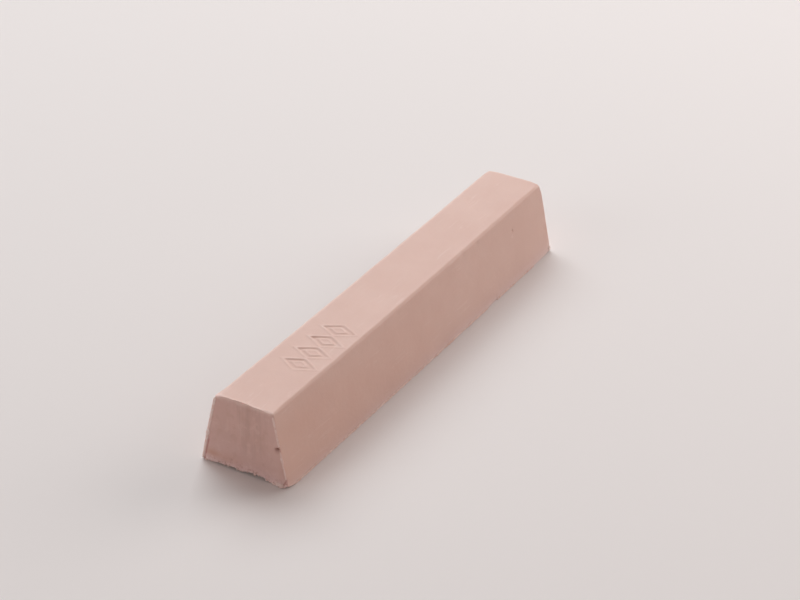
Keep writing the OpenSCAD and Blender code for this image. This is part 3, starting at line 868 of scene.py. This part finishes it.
# Painted shade: the cut is painted darker in the low parts of the blade streaks, whose heights also feed the bump, so
# in the furrows.
cut_colour = tinted(tree, CUT_LIGHT, complement(tree, streaks["Streak"]), drag_shade_and_relief, FURROW_SHADE)
cut_colour = tinted(tree, cut_colour, mottle["Dark"], 0.3, MOTTLE_DARK)
cut_colour = tinted(tree, cut_colour, mottle["Pale"], 0.3, MOTTLE_PALE)
colour = blend_colour(tree, cut, colour, cut_colour)
print("material:", hard_wax.name, len(tree.nodes), "nodes so far")

# %% The bar's wax: painted light and shade, stains, scuffs and wear
LIT_CUT_PALE, CRUMB_DARK, CRUMB_PALE = (0.835, 0.605, 0.585, 1), (0.520, 0.285, 0.215, 1), (0.930, 0.720, 0.660, 1)
# The worn colour is also the colour of the painted highlights on the lip, the ear and the rims.
STAIN_AND_SHADE, SCUFF, WORN_AND_LIT = (0.650, 0.365, 0.275, 1), (0.860, 0.700, 0.650, 1), (0.830, 0.640, 0.580, 1)
PIT_SHADE, CREASE_SHADE = (0.300, 0.135, 0.095, 1), (0.520, 0.205, 0.185, 1)

crumbs = place_group(tree, crumbly_wax, Place=place, Per_mm=2.2)
worn_and_lit = place_group(tree, worn_and_lit_edge, Place=place, Edge=edge, Break_up=0.7)
scuffs = place_group(tree, handling_marks, Place=place)
foot_band = math_node(tree, "POWER", cut_light_mask, 1.6)
scuff = math_node(tree, "MULTIPLY", scuffs["Scuff"], complement(tree, cut))

# Painted light on the lower near cut and on the ear.
colour = blend_colour(tree, cut_light_mask, colour, LIT_CUT_PALE)
# The stains are real; the front shade in their mask and the pit and crease tints are painted shade.
for mask, strength, tint in (
        (crumbs["Dark"], foot_band, CRUMB_DARK), (crumbs["Pale"], foot_band, CRUMB_PALE), (stain_and_shade_mask, 0.6, STAIN_AND_SHADE),
        (scuff, 0.16, SCUFF), (worn_and_lit["Mask"], 0.5, WORN_AND_LIT), (pit_shade_mask, 0.75, PIT_SHADE), (crease_shade_mask, 0.8, CREASE_SHADE)):
    colour = tinted(tree, colour, mask, strength, tint)
feed(tree, shader.inputs["Base Color"], colour)
print("material:", hard_wax.name, len(tree.nodes), "nodes so far")

# %% The bar's wax: roughness and fine relief
BASE_ROUGHNESS = 0.45

roughness = math_node(tree, "ADD", math_node(tree, "MULTIPLY", clouds["Speckle"], 0.12),
                      math_node(tree, "MULTIPLY", cut, 0.1))
roughness = math_node(tree, "SUBTRACT", roughness, math_node(tree, "MULTIPLY", scuff, 0.08))
feed(tree, shader.inputs["Roughness"], math_node(tree, "ADD", roughness, BASE_ROUGHNESS))

relief = place_group(tree, cast_skin, Place=place, Pores=0.35)["Height"]
for height, mask in ((streaks["Height"], drag_shade_and_relief), (crumbs["Height"], foot_band)):
    raised = math_node(tree, "MULTIPLY", height, math_node(tree, "MULTIPLY", mask, 4.0))
    relief = math_node(tree, "ADD", relief, raised)
bump = add(tree, "ShaderNodeBump", Strength=0.5, Distance=0.00005, Height=relief)
feed(tree, shader.inputs["Normal"], bump.outputs[0])
cast_bar.data.materials.append(hard_wax)
print("material:", hard_wax.name, len(tree.nodes), "nodes")

# %% The thin wax of burrs, feather and crumbs
# Painted light: thin wax is painted paler by the value on each piece, to stand for the light that passes through it
# from behind.
THICK_DEEP, THICK_LIGHT = (0.720, 0.505, 0.440, 1), (0.755, 0.545, 0.485, 1)
BACKLIT_DEEP, BACKLIT_LIGHT = (0.900, 0.660, 0.600, 1), (0.960, 0.790, 0.740, 1)
SPECK_DARK, SPECK_PALE = (0.700, 0.450, 0.380, 1), (0.970, 0.850, 0.820, 1)

thin_wax, tree, shader, place = new_wax("thin_wax", 0.35, 0.0002)
thin_backlight = painted_value(tree, "thin_backlight")
clouds = place_group(tree, pigment_clouds, Place=place, Cloud_size=1.2, Speckle_size=0.15)
crumbs = place_group(tree, crumbly_wax, Place=place, Per_mm=1.6)
skin_height = place_group(tree, cast_skin, Place=place, Pores=0.1)["Height"]

thick_colour = blend_colour(tree, clouds["Cloud"], THICK_DEEP, THICK_LIGHT)
backlit_colour = blend_colour(tree, clouds["Cloud"], BACKLIT_DEEP, BACKLIT_LIGHT)
# Painted light: the paler colour where the painted value is high stands for light through thin wax.
colour = blend_colour(tree, thin_backlight, thick_colour, backlit_colour)
colour = tinted(tree, colour, crumbs["Dark"], complement(tree, thin_backlight), SPECK_DARK)
colour = tinted(tree, colour, crumbs["Pale"], thin_backlight, SPECK_PALE)
feed(tree, shader.inputs["Base Color"], colour)
roughness = math_node(tree, "ADD", math_node(tree, "MULTIPLY", clouds["Speckle"], 0.15), 0.42)
feed(tree, shader.inputs["Roughness"], roughness)
bump = add(tree, "ShaderNodeBump", Strength=0.6, Distance=0.00004, Height=skin_height)
feed(tree, shader.inputs["Normal"], bump.outputs[0])
for piece in (foot_feather, left_burr, right_burr, foot_grains, corner_smear, corner_grain):
    piece.data.materials.append(thin_wax)
print("material:", thin_wax.name, len(tree.nodes), "nodes")

# %% [markdown]
# ## A plain table and soft daylight
#
# A large soft window stands behind the stick and a little towards its far end, because the top is the brightest face
# and the shadow falls towards the viewer. A smaller panel past the far end makes the long side brighten that way, and
# a third one keeps the back and the near cut from going dull. The floor is plain and pale. It is clear from below, so
# that the foot can be looked at too, and away from the stick it fades into the colour of the backdrop, so that no
# horizon shows at low angles.

# %% Floor
FLOOR_PLACES = np.linspace(-3.0, 3.0, 5)  # metres
FLOOR_COLOUR, FLOOR_ROUGHNESS, BACKDROP = (0.78, 0.745, 0.73, 1), 0.7, (0.72, 0.68, 0.67, 1)
FADE_FROM, FADE_TO = 0.12, 0.4  # metres away from the stick

u, v = np.meshgrid(FLOOR_PLACES, FLOOR_PLACES, indexing="ij")
floor_mesh = bpy.data.meshes.new("floor")
floor_mesh.from_pydata(np.stack([u, v, 0 * u], -1).reshape(-1, 3).tolist(), [],
                       grid_quads(np.arange(u.size).reshape(u.shape)).tolist())
floor = bpy.data.objects.new("floor", floor_mesh)
bpy.context.scene.collection.objects.link(floor)
floor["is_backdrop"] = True

paper = bpy.data.materials.new("pale_floor")
paper.use_nodes = True
tree = paper.node_tree
shader, output = tree.nodes["Principled BSDF"], tree.nodes["Material Output"]
shader.inputs["Base Color"].default_value = FLOOR_COLOUR
shader.inputs["Roughness"].default_value = FLOOR_ROUGHNESS
clear = add(tree, "ShaderNodeBsdfTransparent")
rays = add(tree, "ShaderNodeLightPath").outputs
passed = math_node(tree, "GREATER_THAN", rays["Transparent Depth"], 0.5)
below = math_node(tree, "MAXIMUM", add(tree, "ShaderNodeNewGeometry").outputs["Backfacing"], passed)
spot = add(tree, "ShaderNodeTexCoord").outputs["Object"]
away = add(tree, "ShaderNodeVectorMath", {"operation": "LENGTH"}, _0=spot).outputs["Value"]
fade = math_node(tree, "MULTIPLY", stepped(tree, away, FADE_FROM, FADE_TO), rays["Is Camera Ray"])
haze = add(tree, "ShaderNodeEmission", Color=BACKDROP)
top_side = add(tree, "ShaderNodeMixShader", _0=fade, _1=shader.outputs[0], _2=haze.outputs[0])
both_sides = add(tree, "ShaderNodeMixShader", _0=below, _1=top_side.outputs[0], _2=clear.outputs[0])
feed(tree, output.inputs["Surface"], both_sides.outputs[0])
floor.data.materials.append(paper)
print("floor:", len(floor.data.polygons), "quads")

# %% Lights and sky
SKY_COLOUR, SKY_STRENGTH = (0.94, 0.79, 0.745, 1), 0.27


def soft_panel(name, place, size, watts, colour=(1, 1, 1)):
    """A rectangular lamp at place that faces the origin: its -Z axis points along -place."""
    lamp = bpy.data.lights.new(name, "AREA")
    lamp.shape, lamp.size, lamp.size_y, lamp.energy, lamp.color = "RECTANGLE", size[0], size[1], watts, colour
    holder = bpy.data.objects.new(name, lamp)
    turn = (-Vector(place)).to_track_quat("-Z", "Y").to_matrix().to_4x4()
    holder.matrix_world = Matrix.Translation(place) @ turn
    bpy.context.scene.collection.objects.link(holder)
    print("lamp:", name, watts, "W")


soft_panel("window", (0.5, 0.5, 0.78), (0.9, 0.7), 8.3, (0.935, 0.975, 1))
soft_panel("far_panel", (0.43, -0.28, 0.2), (0.42, 0.34), 1.4, (1, 0.935, 0.91))
soft_panel("back_panel", (-0.82, 0.48, 0.44), (0.6, 0.5), 1.3)

world = bpy.data.worlds.new("sky")
bpy.context.scene.world = world
world.use_nodes = True
tree = world.node_tree
rays = add(tree, "ShaderNodeLightPath").outputs
seen = math_node(tree, "ADD", rays["Is Camera Ray"], rays["Is Glossy Ray"])
seen = math_node(tree, "ADD", seen, rays["Is Transmission Ray"], clamp=True)
sky = add(tree, "ShaderNodeBackground", Color=SKY_COLOUR, Strength=SKY_STRENGTH)
backdrop = add(tree, "ShaderNodeBackground", Color=BACKDROP, Strength=1.0)
mixed = add(tree, "ShaderNodeMixShader", _0=seen, _1=sky.outputs[0], _2=backdrop.outputs[0])
feed(tree, tree.nodes["World Output"].inputs["Surface"], mixed.outputs[0])
bpy.context.scene.view_settings.view_transform = "Standard"

# %% [markdown]
# ## Measure and finish
#
# The dressed stick is measured: the box round every shown piece but the floor, in millimetres. The dressed stick
# has to stay in the CAD part's box, give or take a few hundredths of each side.

# %% Measure the dressed stick
low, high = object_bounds()
print("dressed, mm:", [[round(MM_PER_METRE * v, 2) for v in c] for c in (low, high)])
